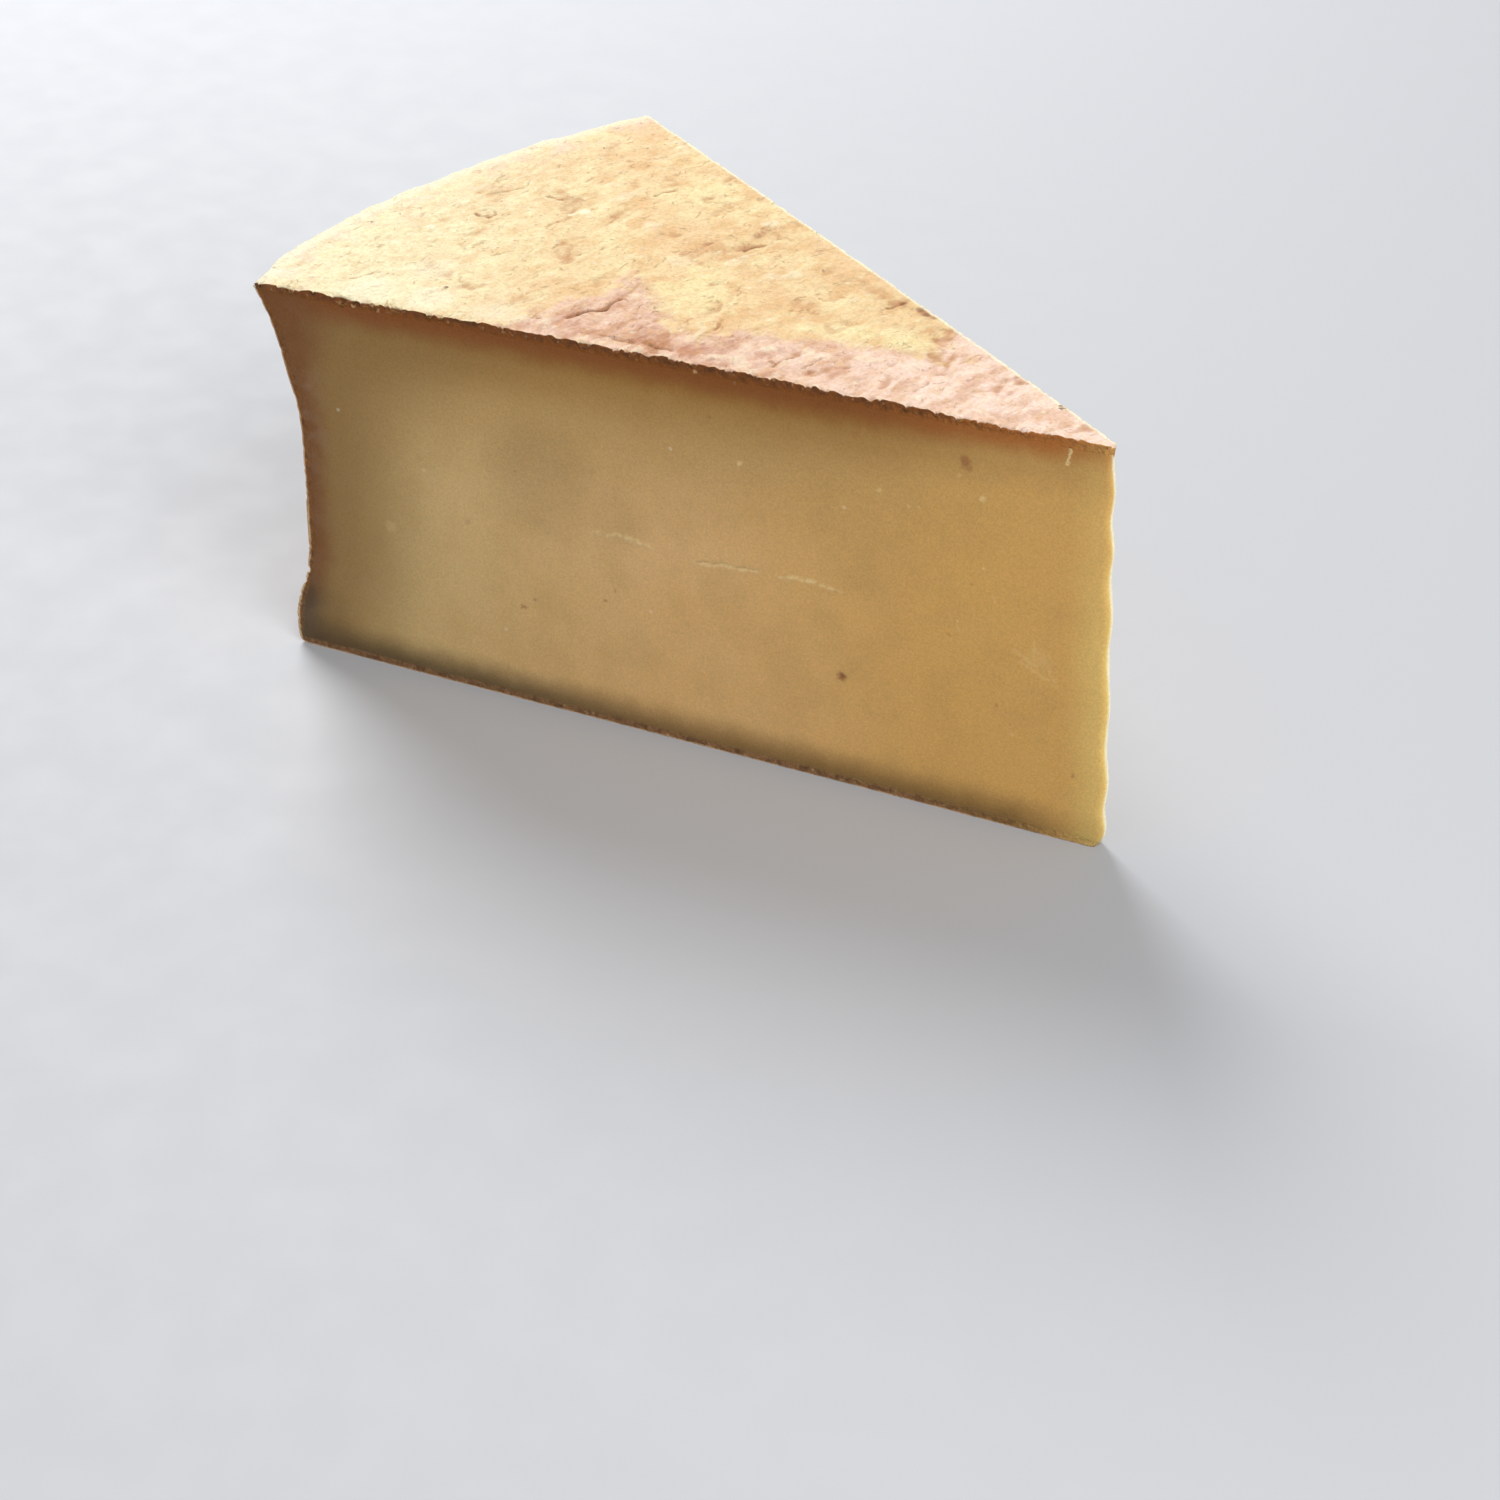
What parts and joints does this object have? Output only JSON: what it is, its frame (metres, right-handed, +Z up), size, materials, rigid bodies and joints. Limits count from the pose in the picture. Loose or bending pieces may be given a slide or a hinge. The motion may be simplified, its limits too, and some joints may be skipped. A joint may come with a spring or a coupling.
{
  "type": "comte cheese wedge",
  "caption": "Tall wedge of hard aged cheese with a rough rind on top, a hollow rind heel, smooth cut faces and a flat underside to stand on.",
  "frame": {"origin": "centre of the wedge's bounding box, at the level of its flat underside", "axes": "+X towards the pointed end, where the wheel's axis was, -X towards the rind heel, -Y out of the cut face that shows, +Z up"},
  "size_m": [0.2782, 0.1694, 0.1304],
  "materials": {
    "paste": "dense golden-ivory cheese, smooth satin knife cut, waxy and slightly translucent, darker towards the rind",
    "rind": "dry rough natural rind, cream and ochre with pinkish and brown patches, matt"
  },
  "bodies": {
    "root": {"cheese_wedge": "paste"}
  },
  "joints": []
}
